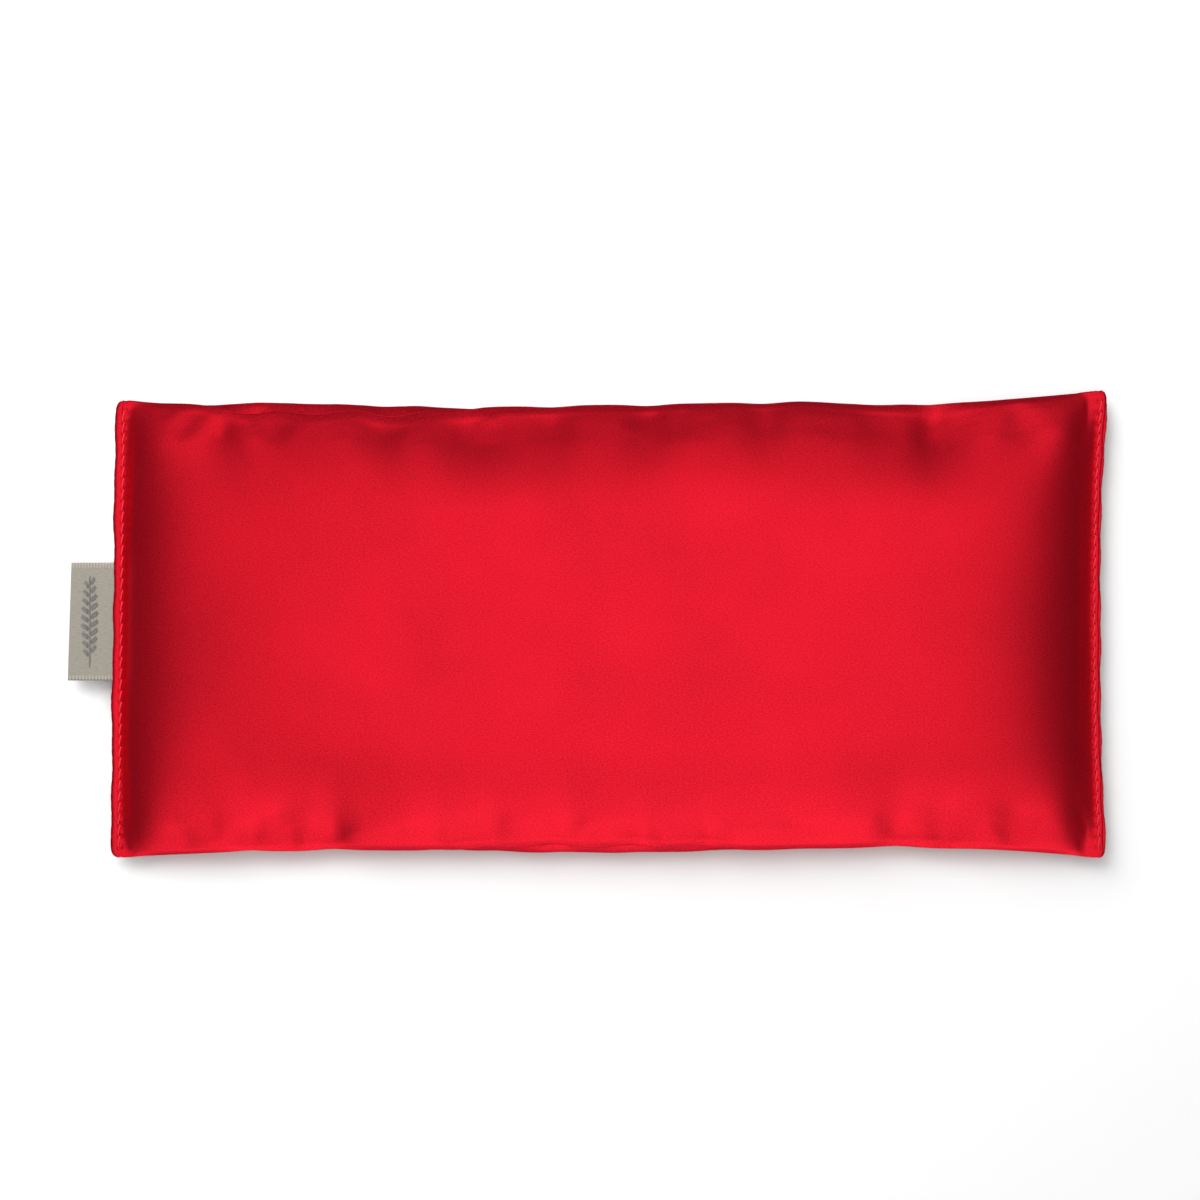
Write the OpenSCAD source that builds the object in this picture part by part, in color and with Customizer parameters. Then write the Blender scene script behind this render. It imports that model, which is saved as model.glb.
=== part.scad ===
// Eye pillow: a silk cover over a muslin pouch of flax seed and lavender, with a woven
// label caught in one stitched end. Origin at the centre of the flat underside, +X along
// the pillow away from the label, +Y across it, +Z up. Millimetres.

/* [Pillow] */
// Length over the two stitched ends
pillow_length = 240; // [210:5:270]
// Width over the side seams
pillow_width = 110; // [95:5:125]
// Thickness at the crown, lying flat
pillow_thickness = 19; // [16:1:24]
// How far the long sides pull in at the middle
side_waist = 1.6; // [0:0.2:3]
// Height of the side seams above the surface it lies on
side_seam_height = 8; // [7:0.5:9]
// Height of the stitched ends above that surface
end_seam_height = 4.6; // [4:0.2:5.6]

/* [Cloth] */
// Silk of the cover, one layer
silk_thickness = 0.4; // [0.3:0.05:0.5]
// Width of the silk turned in at every edge
hem_width = 8; // [7:0.5:9]
// Muslin of the inner pouch, one layer
muslin_thickness = 0.35; // [0.25:0.05:0.4]
// How far the pouch's ends lie inside the cover's
pouch_end_inset = 11; // [10.5:0.5:13]
// How far the pouch's sides lie inside the cover's
pouch_side_inset = 3; // [3:0.5:5]

/* [Stitching] */
// Distance from one needle hole to the next
stitch_pitch = 2.7; // [2.2:0.1:3.2]
// Diameter of the sewing thread
thread_diameter = 0.36; // [0.3:0.02:0.4]
// Distance of the edge stitching from each end
edge_stitch_inset = 1.9; // [1.6:0.1:2.2]

/* [Label] */
// Width of the ribbon, across the pillow
label_width = 28.5; // [20:0.5:36]
// Length of the loop that stands out of the seam
label_reach = 10.6; // [8:0.2:13]
// One layer of ribbon
ribbon_thickness = 0.25; // [0.2:0.05:0.3]
// How far the label's middle lies from the pillow's, towards +Y
label_offset = 1.7; // [-5:0.1:5]

/* [Filling] */
// Length of a lavender bud
bud_length = 5; // [4:0.5:6]
// Greatest diameter of a lavender bud
bud_diameter = 2; // [1.6:0.1:2.4]

/* [Hidden] */

// Colours
silk_red = [0.80, 0.04, 0.09];
thread_red = [0.86, 0.07, 0.13];
muslin_cream = [0.93, 0.90, 0.82];
cotton_white = [0.96, 0.95, 0.91];
flax_brown = [0.47, 0.29, 0.16];
lavender_violet = [0.46, 0.40, 0.62];
ribbon_taupe = [0.66, 0.64, 0.58];
figure_grey = [0.44, 0.42, 0.40];

half_length = pillow_length / 2;
half_width = pillow_width / 2;

// Between two surfaces that lie against each other
seam_gap = 0.1;
// From a seam's middle plane to the outside of one doubled, turned-in edge
seam_layer = 2 * silk_thickness + seam_gap / 2;
pouch_layer = 2 * muslin_thickness + seam_gap / 2;

// How far in from an edge each face takes to reach its full height
crown_end_run = 27;
crown_side_run = 29;
base_end_run = 15;
base_side_run = 13;
seam_height_run = 30;
// The flat strips where the two panels of a bag lie together, at its ends and at its sides
cover_end_lip = 2.8;
cover_side_lip = 1.6;
pouch_lip = 4;
// Between the pouch's stitching and the seed
fill_inset = 1.5;

// A bag is [half length, half width, highest z, lowest z, seam layer, end lip, side lip].
cover_bag = [half_length, half_width, pillow_thickness, 0, seam_layer, cover_end_lip, cover_side_lip];
pouch_bag = [
    half_length - pouch_end_inset, half_width - pouch_side_inset,
    pillow_thickness - 1.2, 1.2, pouch_layer, pouch_lip, pouch_lip
];
fill_bag = [
    pouch_bag[0] - pouch_lip - fill_inset, pouch_bag[1] - pouch_lip - fill_inset,
    pillow_thickness - 2.2, 2.2, 0.25, 0, 0
];

// Depths in from the outline at which the lofted loops lie, on the outside and the inside
cover_outer_depths = [0.4, 1.6, 2.8, 4.4, 7, 10.5, 15, 20, 26, 33, 42, 50];
cover_inner_depths = [0.4, 2.8, 5, hem_width, hem_width + 0.01, 12, 18, 25, 34, 50];
pouch_outer_depths = [0.4, pouch_lip, 6, 9, 13, 18, 25, 33, 42, 48];
pouch_inner_depths = [0.4, pouch_lip, pouch_lip + 0.01, 7, 12, 18, 26, 36, 48];
fill_depths = [0, 1, 2.4, 4.5, 8, 13, 19, 26, 34, 42];

corner_points = 4;
side_points = 18;
end_points = 8;
corner_radius = 3;

function smooth(t) = let (c = min(max(t, 0), 1)) c * c * (3 - 2 * c);
function rise(t) = sin(90 * min(max(t, 0), 1));
function round_rise(t) = let (c = 1 - min(max(t, 0), 1)) sqrt(1 - c * c);

// Height of the seam plane: low at the stitched ends, higher along the long sides.
function seam_z(x) =
    end_seam_height
    + (side_seam_height - end_seam_height) * smooth((half_length - abs(x)) / seam_height_run);

// Evenly spaced values from a to b, without b.
function steps(a, b, count) = [for (i = [0:count - 1]) a + (b - a) * i / count];

// One quarter turn of a rounded corner with its centre at c.
function corner(c, start) = [
    for (a = steps(start, start + 90, corner_points))
        c + corner_radius * [cos(a), sin(a)]
];

// The outline of a rectangle with rounded corners, anticlockwise, in the seam plane.
function outline(hx, hy) =
    let (cx = hx - corner_radius, cy = hy - corner_radius)
    concat(
        corner([cx, cy], 0), [for (x = steps(cx, -cx, side_points)) [x, hy]],
        corner([-cx, cy], 90), [for (y = steps(cy, -cy, end_points)) [-hx, y]],
        corner([-cx, -cy], 180), [for (x = steps(-cx, cx, side_points)) [x, -hy]],
        corner([cx, -cy], 270), [for (y = steps(-cy, cy, end_points)) [hx, y]]
    );

// A point of the outline moved in by depth, then drawn in at the waist.
function inset(bag, p, depth) =
    let (x = p[0] * (bag[0] - depth) / bag[0], y = p[1] * (bag[1] - depth) / bag[1])
    [x, y * (1 - side_waist / half_width * smooth(1 - abs(x) / half_length))];

// How full a bag is at depths dx from its end and dy from its side, from 0 to 1.
function fullness(bag, dx, dy, end_run, side_run) =
    rise((dx - bag[5]) / end_run) * round_rise((dy - bag[6]) / side_run);

function front_z(bag, p, depth) =
    let (
        x = abs(p[0]) * (bag[0] - depth) / bag[0],
        y = abs(p[1]) * (bag[1] - depth) / bag[1],
        edge = seam_z(x) + bag[4]
    )
    edge + (bag[2] - edge) * fullness(bag, bag[0] - x, bag[1] - y, crown_end_run, crown_side_run);

function back_z(bag, p, depth) =
    let (
        x = abs(p[0]) * (bag[0] - depth) / bag[0],
        y = abs(p[1]) * (bag[1] - depth) / bag[1],
        edge = seam_z(x) - bag[4]
    )
    edge + (bag[3] - edge) * fullness(bag, bag[0] - x, bag[1] - y, base_end_run, base_side_run);

// Loops of one face, from its flat middle out to its edge; skin moves them in and towards the seam.
function front_loop(bag, depth, skin) = [
    for (p = outline(bag[0], bag[1]))
        concat(inset(bag, p, depth + skin), front_z(bag, p, depth) - skin)
];
function back_loop(bag, depth, skin) = [
    for (p = outline(bag[0], bag[1]))
        concat(inset(bag, p, depth + skin), back_z(bag, p, depth) + skin)
];

// A loop at the fold of a turned-in edge, lift above the seam plane.
function fold_loop(bag, depth, lift) = [
    for (p = outline(bag[0], bag[1]))
        concat(inset(bag, p, depth), seam_z(p[0]) + lift)
];

// Skins loops of equal count into one closed solid. Both end loops are flat and are closed
// by triangles round a point on the Z axis.
module loft(loops, flip = false) {
    n = len(loops[0]);
    last = len(loops) - 1;
    first_hub = n * (last + 1);
    hubs = [[0, 0, loops[0][0][2]], [0, 0, loops[last][0][2]]];
    sides = [
        for (k = [0:last - 1], j = [0:n - 1])
            let (a = k * n + j, b = k * n + (j + 1) % n)
            each [[a, b, b + n], [a, b + n, a + n]]
    ];
    caps = [
        for (j = [0:n - 1])
            let (next = (j + 1) % n)
            each [[next, j, first_hub], [last * n + j, last * n + next, first_hub + 1]]
    ];
    faces = concat(sides, caps);
    turned = [for (f = faces) reversed(f)];
    polyhedron(concat([for (l = loops) each l], hubs), flip ? turned : faces);
}

function reversed(list) = [for (i = [len(list) - 1:-1:0]) list[i]];

// One cloth panel of a bag: a shallow tray whose edge is folded in to double thickness.
module front_panel(bag, outer_depths, inner_depths, cloth, hem) {
    outer = [for (d = reversed(outer_depths)) front_loop(bag, d, 0)];
    fold = [
        fold_loop(bag, 0.1, bag[4] - 0.3 * cloth),
        fold_loop(bag, 0, bag[4] - cloth),
        fold_loop(bag, 0.1, bag[4] - 1.7 * cloth)
    ];
    inner = [for (d = inner_depths) front_loop(bag, d, d <= hem ? 2 * cloth : cloth)];
    loft(concat(outer, fold, inner), true);
}

module back_panel(bag, outer_depths, inner_depths, cloth, hem) {
    outer = [for (d = reversed(outer_depths)) back_loop(bag, d, 0)];
    fold = [
        fold_loop(bag, 0.1, -bag[4] + 0.3 * cloth),
        fold_loop(bag, 0, -bag[4] + cloth),
        fold_loop(bag, 0.1, -bag[4] + 1.7 * cloth)
    ];
    inner = [for (d = inner_depths) back_loop(bag, d, d <= hem ? 2 * cloth : cloth)];
    loft(concat(outer, fold, inner));
}

// The course of a sewing thread, as [distance along, height] points. Between holes it floats
// at level from the seam plane; a running stitch floats on the two faces in turn, and the
// other kinds dip to the lock in the seam plane at every hole.
hole_run = 0.45;
lock_clearance = thread_diameter / 2 + 0.02;
function thread_course(holes, level, running = false) = [
    for (i = [0:len(holes) - 2])
        let (
            a = holes[i], b = holes[i + 1],
            float_level = running && i % 2 == 1 ? -level : level,
            dip = running ? 0 : sign(level) * lock_clearance
        )
        each concat(
            [a + [0, dip], a + [hole_run, float_level], b + [-hole_run, float_level]],
            i == len(holes) - 2 ? [b + [0, dip]] : []
        )
];

// The thread seen from the side.
module thread_band(course) {
    half = [0, thread_diameter / 2];
    polygon(concat([for (p = course) p + half], [for (p = reversed(course)) p - half]));
}

function stitch_count(run) = floor(run / stitch_pitch);
function stitch_at(i, count) = (i - count / 2) * stitch_pitch;

// A row of stitches across a bag's end at x, over the given run.
module end_row(x, run, level, running = false) {
    count = stitch_count(run);
    holes = [for (i = [0:count]) [stitch_at(i, count), seam_z(x)]];
    translate([x - thread_diameter / 2, 0, 0])
        rotate([90, 0, 90])
            linear_extrude(thread_diameter)
                thread_band(thread_course(holes, level, running));
}

// A row of stitches along one side of a bag, following its waist.
module side_row(bag, side, inset_by, run, level, running = false) {
    count = stitch_count(run);
    reach = stitch_at(count, count) + 1;
    holes = [for (i = [0:count]) let (x = stitch_at(i, count)) [x, seam_z(x)]];
    line = [
        for (x = [-reach, each steps(-reach + 8, reach, 12), reach])
            inset(bag, [x, side * bag[1]], inset_by)
    ];
    half = [0, thread_diameter / 2];
    intersection() {
        rotate([90, 0, 0])
            linear_extrude(pillow_width, center = true)
                thread_band(thread_course(holes, level, running));
        linear_extrude(pillow_thickness)
            polygon(concat([for (p = line) p + half], [for (p = reversed(line)) p - half]));
    }
}

side_seam_inset = 0.9;
end_thread_level = seam_layer + thread_diameter * 0.3;
side_thread_level = silk_thickness + seam_gap / 2;
pouch_stitch_inset = 2;

// The label's hinge line lies just outside the fold that the ribbon comes out of.
label_hinge_x = -half_length - 1;
label_hinge_z = end_seam_height;
label_loop_thickness = 2 * ribbon_thickness + 0.2;
label_tail_thickness = 2 * ribbon_thickness;
label_tail_length = 8;

module label_pocket() {
    height = label_tail_thickness + 0.1;
    translate([label_hinge_x, label_offset - label_width / 2 - 0.2, label_hinge_z - height / 2])
        cube([label_tail_length + 1.2, label_width + 0.4, height]);
}

module cover_front() {
    color(silk_red)
        difference() {
            front_panel(cover_bag, cover_outer_depths, cover_inner_depths, silk_thickness, hem_width);
            label_pocket();
        }
}

module cover_back() {
    color(silk_red)
        difference() {
            back_panel(cover_bag, cover_outer_depths, cover_inner_depths, silk_thickness, hem_width);
            label_pocket();
        }
}

module pouch_front() {
    color(muslin_cream)
        front_panel(pouch_bag, pouch_outer_depths, pouch_inner_depths, muslin_thickness, pouch_lip);
}

module pouch_back() {
    color(muslin_cream)
        back_panel(pouch_bag, pouch_outer_depths, pouch_inner_depths, muslin_thickness, pouch_lip);
}

module seed_fill() {
    color(flax_brown)
        loft(concat(
            [for (d = reversed(fill_depths)) front_loop(fill_bag, d, 0)],
            [for (d = fill_depths) back_loop(fill_bag, d, 0)]
        ), true);
}

// One lavender bud, a pointed barrel along Z.
module bud() {
    rotate_extrude($fn = 16)
        polygon([
            [0, -bud_length / 2], [bud_diameter * 0.32, -bud_length * 0.38],
            [bud_diameter / 2, 0], [bud_diameter * 0.36, bud_length * 0.34], [0, bud_length / 2]
        ]);
}

// Buds on a turning spiral through the seed, so that no two touch.
bud_count = 30;
golden_angle = 137.508;
module lavender_buds() {
    color(lavender_violet)
        for (i = [0:bud_count - 1])
            let (reach = sqrt((i + 0.5) / bud_count), turn = i * golden_angle)
            translate([
                reach * (half_length - 38) * cos(turn),
                reach * (half_width - 22) * sin(turn),
                pillow_thickness / 2 + 1.6 * cos(turn * 3)
            ])
                rotate([70 + 20 * cos(turn * 2), 0, turn * 1.7]) bud();
}

// The exposed loop of ribbon: two layers joined by the outer fold, with a rounded root.
module label_tab() {
    outer_x = label_hinge_x - label_reach + label_loop_thickness / 2;
    color(ribbon_taupe)
        translate([0, label_offset + label_width / 2, label_hinge_z])
            rotate([90, 0, 0])
                linear_extrude(label_width)
                    difference() {
                        union() {
                            translate([label_hinge_x, 0]) circle(d = label_loop_thickness, $fn = 32);
                            translate([outer_x, 0]) circle(d = label_loop_thickness, $fn = 32);
                            translate([outer_x, -label_loop_thickness / 2])
                                square([label_hinge_x - outer_x, label_loop_thickness]);
                        }
                        translate([outer_x, -0.1]) square([label_reach - 2, 0.2]);
                    }
}

// The ribbon's two ends, lying in the seam between the hems.
module label_tails() {
    root_x = label_hinge_x + label_loop_thickness / 2 + 0.2;
    color(ribbon_taupe)
        translate([root_x, label_offset - label_width / 2, label_hinge_z - label_tail_thickness / 2])
            cube([label_tail_length, label_width, label_tail_thickness]);
}

// A rod lying in the XY plane from p to q.
module yarn(p, q, diameter) {
    v = q - p;
    translate([p[0], p[1], 0])
        rotate([0, 90, atan2(v[1], v[0])])
            cylinder(h = norm(v), d = diameter, $fn = 24);
}

// A woven sprig on the upper face of the loop: a stem with pairs of slanting florets.
motif_yarn = 0.3;
motif_length = 22;
floret_pitch = 2;
module label_motif() {
    florets = floor(motif_length * 0.62 / floret_pitch);
    color(figure_grey)
        translate([
            label_hinge_x - label_reach * 0.45, label_offset,
            label_hinge_z + label_loop_thickness / 2 + motif_yarn * 0.3
        ]) {
            yarn([0, -motif_length / 2], [0, motif_length / 2], motif_yarn);
            for (i = [0:florets - 1], side = [-1, 1])
                let (y = motif_length / 2 - i * floret_pitch - 1)
                yarn([0, y - 1.3], [side * (0.7 + 0.18 * i), y], motif_yarn * 0.9);
        }
}

cover_end_run = pillow_width - 4;
cover_side_run = pillow_length - 12;
label_end_x = -half_length + edge_stitch_inset;
plain_end_x = half_length - edge_stitch_inset;

module label_end_needle_thread() {
    color(thread_red) end_row(label_end_x, cover_end_run, end_thread_level);
}

module label_end_bobbin_thread() {
    color(thread_red) end_row(label_end_x, cover_end_run, -end_thread_level);
}

module plain_end_needle_thread() {
    color(thread_red) end_row(plain_end_x, cover_end_run, end_thread_level);
}

module plain_end_bobbin_thread() {
    color(thread_red) end_row(plain_end_x, cover_end_run, -end_thread_level);
}

module far_side_needle_thread() {
    color(thread_red) side_row(cover_bag, 1, side_seam_inset, cover_side_run, side_thread_level);
}

module far_side_bobbin_thread() {
    color(thread_red) side_row(cover_bag, 1, side_seam_inset, cover_side_run, -side_thread_level);
}

module near_side_needle_thread() {
    color(thread_red) side_row(cover_bag, -1, side_seam_inset, cover_side_run, side_thread_level);
}

module near_side_bobbin_thread() {
    color(thread_red) side_row(cover_bag, -1, side_seam_inset, cover_side_run, -side_thread_level);
}

// A running stitch round the pouch, through the lip where its two panels lie together.
module pouch_seam_thread() {
    level = pouch_layer + thread_diameter * 0.3;
    end_run = 2 * (pouch_bag[1] - pouch_stitch_inset);
    side_run = 2 * (pouch_bag[0] - pouch_stitch_inset) - 2 * stitch_pitch;
    color(cotton_white)
        for (end = [-1, 1]) {
            end_row(end * (pouch_bag[0] - pouch_stitch_inset), end_run, level, true);
            side_row(pouch_bag, end, pouch_stitch_inset, side_run, level, true);
        }
}

cover_front();
cover_back();
pouch_front();
pouch_back();
seed_fill();
lavender_buds();
label_tab();
label_tails();
label_motif();
label_end_needle_thread();
label_end_bobbin_thread();
plain_end_needle_thread();
plain_end_bobbin_thread();
far_side_needle_thread();
far_side_bobbin_thread();
near_side_needle_thread();
near_side_bobbin_thread();
pouch_seam_thread();
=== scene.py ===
"""Looks of the silk eye pillow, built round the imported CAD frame. Metres, in the frame's axes.

The cover's form starts as a shape written here. A short cloth simulation of its two sewn panels
settles it, and small steps finish it. The hems, stitches, pouch and seed all follow that form.
"""

import math

import bpy
import numpy as np
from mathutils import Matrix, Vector


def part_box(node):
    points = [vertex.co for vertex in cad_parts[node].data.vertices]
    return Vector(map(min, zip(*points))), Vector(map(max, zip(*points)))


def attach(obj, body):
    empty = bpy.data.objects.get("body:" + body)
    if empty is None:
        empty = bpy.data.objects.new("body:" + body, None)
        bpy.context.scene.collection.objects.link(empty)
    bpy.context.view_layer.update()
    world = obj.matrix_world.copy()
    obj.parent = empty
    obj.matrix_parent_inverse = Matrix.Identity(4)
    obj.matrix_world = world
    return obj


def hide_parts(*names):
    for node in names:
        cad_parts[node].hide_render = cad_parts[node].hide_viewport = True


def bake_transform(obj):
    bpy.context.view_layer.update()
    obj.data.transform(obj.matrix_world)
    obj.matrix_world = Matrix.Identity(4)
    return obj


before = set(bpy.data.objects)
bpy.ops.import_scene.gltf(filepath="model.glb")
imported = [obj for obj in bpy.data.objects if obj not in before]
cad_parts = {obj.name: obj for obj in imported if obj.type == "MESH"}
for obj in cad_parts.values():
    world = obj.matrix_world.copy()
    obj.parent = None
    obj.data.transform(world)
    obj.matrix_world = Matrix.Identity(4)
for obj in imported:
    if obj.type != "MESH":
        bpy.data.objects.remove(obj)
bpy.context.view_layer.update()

MM = 0.001
RANDOM_SEED = 20

# ---------------------------------------------------------------- sizes, from the frame


def box_middle(node):
    """The middle of the box round a CAD piece."""
    low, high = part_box(node)
    return (low + high) / 2


cover_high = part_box("cover_front")[1]
half_length = cover_high.x
half_width = cover_high.y
crown_z = cover_high.z
end_seam_z = box_middle("label_tails").z
label_stitch_x = box_middle("label_end_needle_thread").x
plain_stitch_x = box_middle("plain_end_needle_thread").x
side_seam_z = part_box("far_side_needle_thread")[1].z - 0.6 * MM  # the thread's top stands over its seam
thread_radius = 0.25 * MM
stitch_pitch = 2.7 * MM
silk_thickness = 0.2 * MM
muslin_thickness = 0.2 * MM
label_low, label_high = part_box("label_tab")
label_width = label_high.y - label_low.y
SELVEDGE_WIDTH = 1.25 * MM
SELVEDGE_PITCH = 0.75 * MM

# The cut size of both panels between their seams, a little more than the finished pillow.
cut_length = 243.8 * MM
cut_width = 112.6 * MM
filled_volume = 372e-6  # cubic metres

# ---------------------------------------------------------------- small helpers


def smooth(t):
    """From 0 at t = 0 to 1 at t = 1, with a soft start and a soft end."""
    t = np.clip(t, 0, 1)
    return t * t * (3 - 2 * t)


def quarter_round(t):
    """From 0 at t = 0 to 1 at t = 1, along a quarter of a circle that starts steeply."""
    t = np.clip(t, 0, 1)
    return np.sqrt(1 - (1 - t) ** 2)


def run_length(path):
    """How far along a path each of its points lies."""
    return np.concatenate([[0], np.cumsum(np.linalg.norm(np.diff(path, axis=0), axis=1))])


def new_object(name, vertices, faces, material, uvs=None):
    """A mesh object with smooth shading. uvs holds one pair per vertex, in metres of cloth."""
    mesh = bpy.data.meshes.new(name)
    mesh.from_pydata(np.asarray(vertices).tolist(), [], [tuple(int(i) for i in f) for f in faces])
    mesh.validate()
    mesh.update()
    mesh.shade_smooth()
    if uvs is not None:
        layer = mesh.uv_layers.new(name="cut")
        corners = np.empty(len(mesh.loops), np.int32)
        mesh.loops.foreach_get("vertex_index", corners)
        layer.data.foreach_set("uv", np.asarray(uvs, np.float32)[corners].ravel())
    mesh.materials.append(material)
    obj = bpy.data.objects.new(name, mesh)
    bpy.context.scene.collection.objects.link(obj)
    return obj


def grid_faces(rows, columns, flip=False):
    """Quads of a rows x columns grid of vertices."""
    index = np.arange(rows * columns).reshape(rows, columns)
    quads = [index[:-1, :-1], index[1:, :-1], index[1:, 1:], index[:-1, 1:]]
    if flip:
        quads.reverse()
    return np.stack(quads, -1).reshape(-1, 4)


def catmull_rom(values, at):
    """values, a curve per row index, read off smoothly at the fractional row indices at."""
    last = len(values) - 1
    padded = np.concatenate([2 * values[:1] - values[1:2], values, 2 * values[-1:] - values[-2:-1]])
    start = np.clip(np.floor(at).astype(int), 0, last - 1)
    t = (at - start).reshape(-1, *[1] * (values.ndim - 1))
    p0, p1, p2, p3 = (padded[start + k] for k in range(4))
    slope = p2 - p0
    bend = 2 * p0 - 5 * p1 + 4 * p2 - p3
    twist = 3 * p1 - p0 - 3 * p2 + p3
    return 0.5 * (2 * p1 + slope * t + bend * t**2 + twist * t**3)


def resample(grid, rows, columns):
    """A grid of points read off at fractional rows and columns."""
    along = catmull_rom(grid, rows)
    return catmull_rom(along.transpose(1, 0, 2), columns).transpose(1, 0, 2)


def flat_square(name, half_side):
    """A square on the plane that the pillow lies on."""
    signs = ((-1, -1), (1, -1), (1, 1), (-1, 1))
    corners = [(x * half_side, y * half_side, 0) for x, y in signs]
    mesh = bpy.data.meshes.new(name)
    mesh.from_pydata(corners, [], [(0, 1, 2, 3)])
    obj = bpy.data.objects.new(name, mesh)
    bpy.context.scene.collection.objects.link(obj)
    return obj


def thicken(obj, thickness):
    """Gives a single layer of cloth its thickness, towards its inside."""
    solid = obj.modifiers.new("cloth thickness", "SOLIDIFY")
    solid.thickness = thickness
    solid.offset = -1
    solid.use_even_offset = False


def tube(path, radius, sides=8, twist_pitch=None, groove=0.0):
    """Vertices and faces of a closed round tube along path. With a twist pitch it is two-ply."""
    path = np.asarray(path, float)
    count = len(path)
    tangent = np.gradient(path, axis=0)
    tangent /= np.linalg.norm(tangent, axis=1)[:, None]
    up = np.array([0.0, 0.0, 1.0])
    side = np.cross(tangent, up)
    upright = np.linalg.norm(side, axis=1) < 1e-6
    side[upright] = [1.0, 0.0, 0.0]
    side /= np.linalg.norm(side, axis=1)[:, None]
    over = np.cross(side, tangent)
    angle = np.linspace(0, 2 * math.pi, sides, endpoint=False)[None, :]
    ply = 1.0
    if twist_pitch:
        turned = math.pi * run_length(path)[:, None] / twist_pitch
        ply = 1 - groove + groove * np.abs(np.cos(angle - turned))
    ring = radius * ply * np.ones((count, sides))
    points = (
        path[:, None, :]
        + side[:, None, :] * (ring * np.cos(angle))[..., None]
        + over[:, None, :] * (ring * np.sin(angle))[..., None]
    )
    vertices = points.reshape(-1, 3)
    faces = []
    for i in range(count - 1):
        for k in range(sides):
            a, b = i * sides + k, i * sides + (k + 1) % sides
            faces.append((a, b, b + sides, a + sides))
    faces.append(tuple(range(sides - 1, -1, -1)))
    faces.append(tuple(range((count - 1) * sides, count * sides)))
    return vertices, faces


def joined(parts):
    """Several (vertices, faces) as one."""
    vertices, faces, base = [], [], 0
    for part_vertices, part_faces in parts:
        vertices.append(np.asarray(part_vertices))
        faces += [tuple(int(i) + base for i in f) for f in part_faces]
        base += len(part_vertices)
    return np.concatenate(vertices), faces


# ---------------------------------------------------------------- node materials


class Nodes:
    """A short way to write a node material."""

    def __init__(self, name):
        self.material = bpy.data.materials.new(name)
        self.material.use_nodes = True
        self.tree = self.material.node_tree
        self.shader = self.tree.nodes["Principled BSDF"]

    def add(self, kind, settings=None, **inputs):
        node = self.tree.nodes.new(kind)
        for key, value in (settings or {}).items():
            setattr(node, key, value)
        for key, value in inputs.items():
            self.put(node, key.replace("_", " "), value)
        return node

    def put(self, node, socket, value):
        target = node.inputs[socket]
        if isinstance(value, bpy.types.NodeSocket):
            self.tree.links.new(value, target)
        else:
            target.default_value = value

    def cut_coordinates(self):
        return self.add("ShaderNodeUVMap", {"uv_map": "cut"}).outputs["UV"]

    def object_coordinates(self):
        return self.add("ShaderNodeTexCoord").outputs["Object"]

    def stretched(self, coordinates, scale):
        mapping = self.add("ShaderNodeMapping", Vector=coordinates)
        mapping.inputs["Scale"].default_value = scale
        return mapping.outputs["Vector"]

    def noise(self, coordinates, scale, detail=3.0, roughness=0.55):
        node = self.add("ShaderNodeTexNoise", Vector=coordinates, Scale=scale, Detail=detail)
        self.put(node, "Roughness", roughness)
        return node.outputs["Fac"]

    def wave(self, coordinates, direction, scale, distortion=0.0):
        bands = {"bands_direction": direction}
        node = self.add("ShaderNodeTexWave", bands, Vector=coordinates, Scale=scale)
        self.put(node, "Distortion", distortion)
        return node.outputs["Fac"]

    def math(self, operation, a, b=0.0):
        node = self.add("ShaderNodeMath", {"operation": operation})
        self.put(node, 0, a)
        self.put(node, 1, b)
        return node.outputs["Value"]

    def spread(self, factor, low, width):
        """A value from low to low + width, by a factor from 0 to 1."""
        node = self.add("ShaderNodeMath", {"operation": "MULTIPLY_ADD"})
        for socket, value in enumerate((factor, width, low)):
            self.put(node, socket, value)
        return node.outputs["Value"]

    def ramp(self, factor, stops):
        node = self.add("ShaderNodeValToRGB", Fac=factor)
        elements = node.color_ramp.elements
        while len(elements) < len(stops):
            elements.new(0.5)
        for element, (position, colour) in zip(elements, stops):
            element.position = position
            element.color = (*colour, 1)
        return node.outputs["Color"]

    def bump(self, height, distance, strength=1.0, normal=None):
        node = self.add("ShaderNodeBump", Height=height, Distance=distance, Strength=strength)
        if normal is not None:
            self.put(node, "Normal", normal)
        return node.outputs["Normal"]

    def finish(self, **sockets):
        for key, value in sockets.items():
            self.put(self.shader, key.replace("_", " "), value)
        return self.material


def wave_scale(pitch):
    """The scale at which a wave texture repeats once in every pitch of its coordinate."""
    return 2 * math.pi / 20 / pitch


def scaled(colour, factor):
    return tuple(min(1.0, c * factor) for c in colour)


def silk_material():
    """Satin-woven silk: warp floats along the pillow give it a sheen drawn out across them."""
    m = Nodes("silk_satin")
    cut = m.cut_coordinates()
    floats = m.noise(m.stretched(cut, (0.6, 1.0, 1.0)), 3000.0, detail=3.0)
    cloudy = m.noise(cut, 30.0, detail=2.0)
    grain = m.noise(cut, 3400.0, detail=2.0)
    tone = m.math("ADD", m.math("MULTIPLY", floats, 0.75), m.math("MULTIPLY", cloudy, 0.25))
    red = (0.84, 0.0095, 0.026)
    colour = m.ramp(tone, [(0.32, scaled(red, 0.74)), (0.5, red), (0.68, scaled(red, 1.19))])
    weave = m.bump(floats, 0.07 * MM, 0.6)
    weave = m.bump(grain, 0.03 * MM, 0.5, weave)
    along_cut = m.add("ShaderNodeTangent", {"direction_type": "UV_MAP", "uv_map": "cut"})
    return m.finish(
        Base_Color=colour, Roughness=m.spread(floats, 0.46, 0.14), Normal=weave,
        Tangent=along_cut.outputs["Tangent"],
        Metallic=0.90, Anisotropic=0.45, Anisotropic_Rotation=0.25,
        Specular_IOR_Level=1.0, Specular_Tint=(1.0, 0.55, 0.85, 1.0),
    )


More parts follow.
